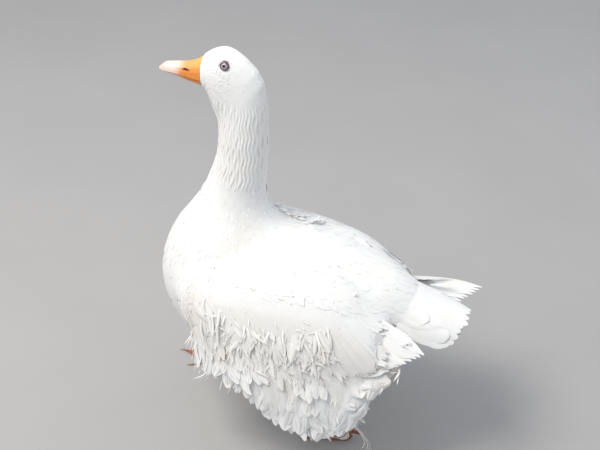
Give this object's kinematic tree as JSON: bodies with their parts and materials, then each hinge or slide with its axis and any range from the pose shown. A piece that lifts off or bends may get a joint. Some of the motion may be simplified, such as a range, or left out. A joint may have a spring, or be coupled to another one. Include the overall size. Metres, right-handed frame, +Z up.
{
  "type": "domestic goose",
  "caption": "Still life-size white domestic goose in mid-stride, with loose curled feathers on its flanks, standing on its two webbed feet.",
  "frame": {"origin": "on the floor, below the middle of the bird's bounding box", "axes": "+Z up, -Y the way the bird walks and looks, +X to the bird's left"},
  "size_m": [0.301, 0.5194, 0.6687],
  "materials": {
    "white_plumage": "soft overlapping white feathers",
    "orange_bill": "satin horn",
    "pale_nail": "satin horn",
    "grey_blue_eye": "wet gloss",
    "brick_orange_leg": "scaly skin",
    "horn_claw": "satin horn"
  },
  "bodies": {
    "root": {"bill_lower": "orange_bill", "bill_nail": "pale_nail", "bill_upper": "orange_bill", "claw_left_hind": "horn_claw", "claw_left_inner": "horn_claw", "claw_left_middle": "horn_claw", "claw_left_outer": "horn_claw", "claw_right_hind": "horn_claw", "claw_right_inner": "horn_claw", "claw_right_middle": "horn_claw", "claw_right_outer": "horn_claw", "eye_left": "grey_blue_eye", "eye_right": "grey_blue_eye", "foot_left": "brick_orange_leg", "foot_right": "brick_orange_leg", "head": "white_plumage", "hind_toe_left": "brick_orange_leg", "hind_toe_right": "brick_orange_leg", "loose_plume_left_front": "white_plumage", "loose_plume_left_long": "white_plumage", "loose_plume_left_sickle": "white_plumage", "loose_plume_right_front": "white_plumage", "loose_plume_right_long": "white_plumage", "loose_plume_right_sickle": "white_plumage", "neck_lower": "white_plumage", "neck_upper": "white_plumage", "plumes_left": "white_plumage", "plumes_right": "white_plumage", "shank_left": "brick_orange_leg", "shank_right": "brick_orange_leg", "tail": "white_plumage", "thigh_left": "white_plumage", "thigh_right": "white_plumage", "trunk": "white_plumage", "wing_left": "white_plumage", "wing_right": "white_plumage", "wing_tip_left": "white_plumage", "wing_tip_right": "white_plumage"}
  },
  "joints": []
}
